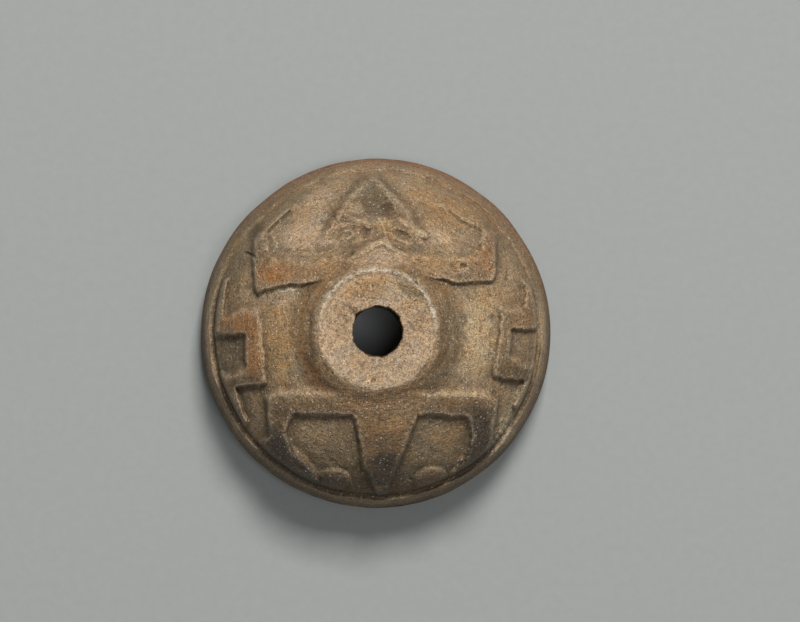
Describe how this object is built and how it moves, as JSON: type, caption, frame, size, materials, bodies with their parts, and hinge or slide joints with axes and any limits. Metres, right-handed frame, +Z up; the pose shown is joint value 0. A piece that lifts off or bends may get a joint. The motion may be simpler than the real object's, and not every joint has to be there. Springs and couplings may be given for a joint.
{
  "type": "clay spindle whorl",
  "caption": "Mould-made clay spindle whorl: a domed disc with a raised boss round the spindle hole, a rim lip and a stylised animal figure in relief.",
  "frame": {"origin": "centre of the flat underside, on the axis of the spindle hole", "axes": "+Z up the spindle hole to the boss, +Y toward the figure's head, +X to the viewer's right with the head up"},
  "size_m": [0.044, 0.044, 0.0215],
  "materials": {
    "clay": "matte"
  },
  "bodies": {
    "root": {"whorl": "clay"}
  },
  "joints": []
}
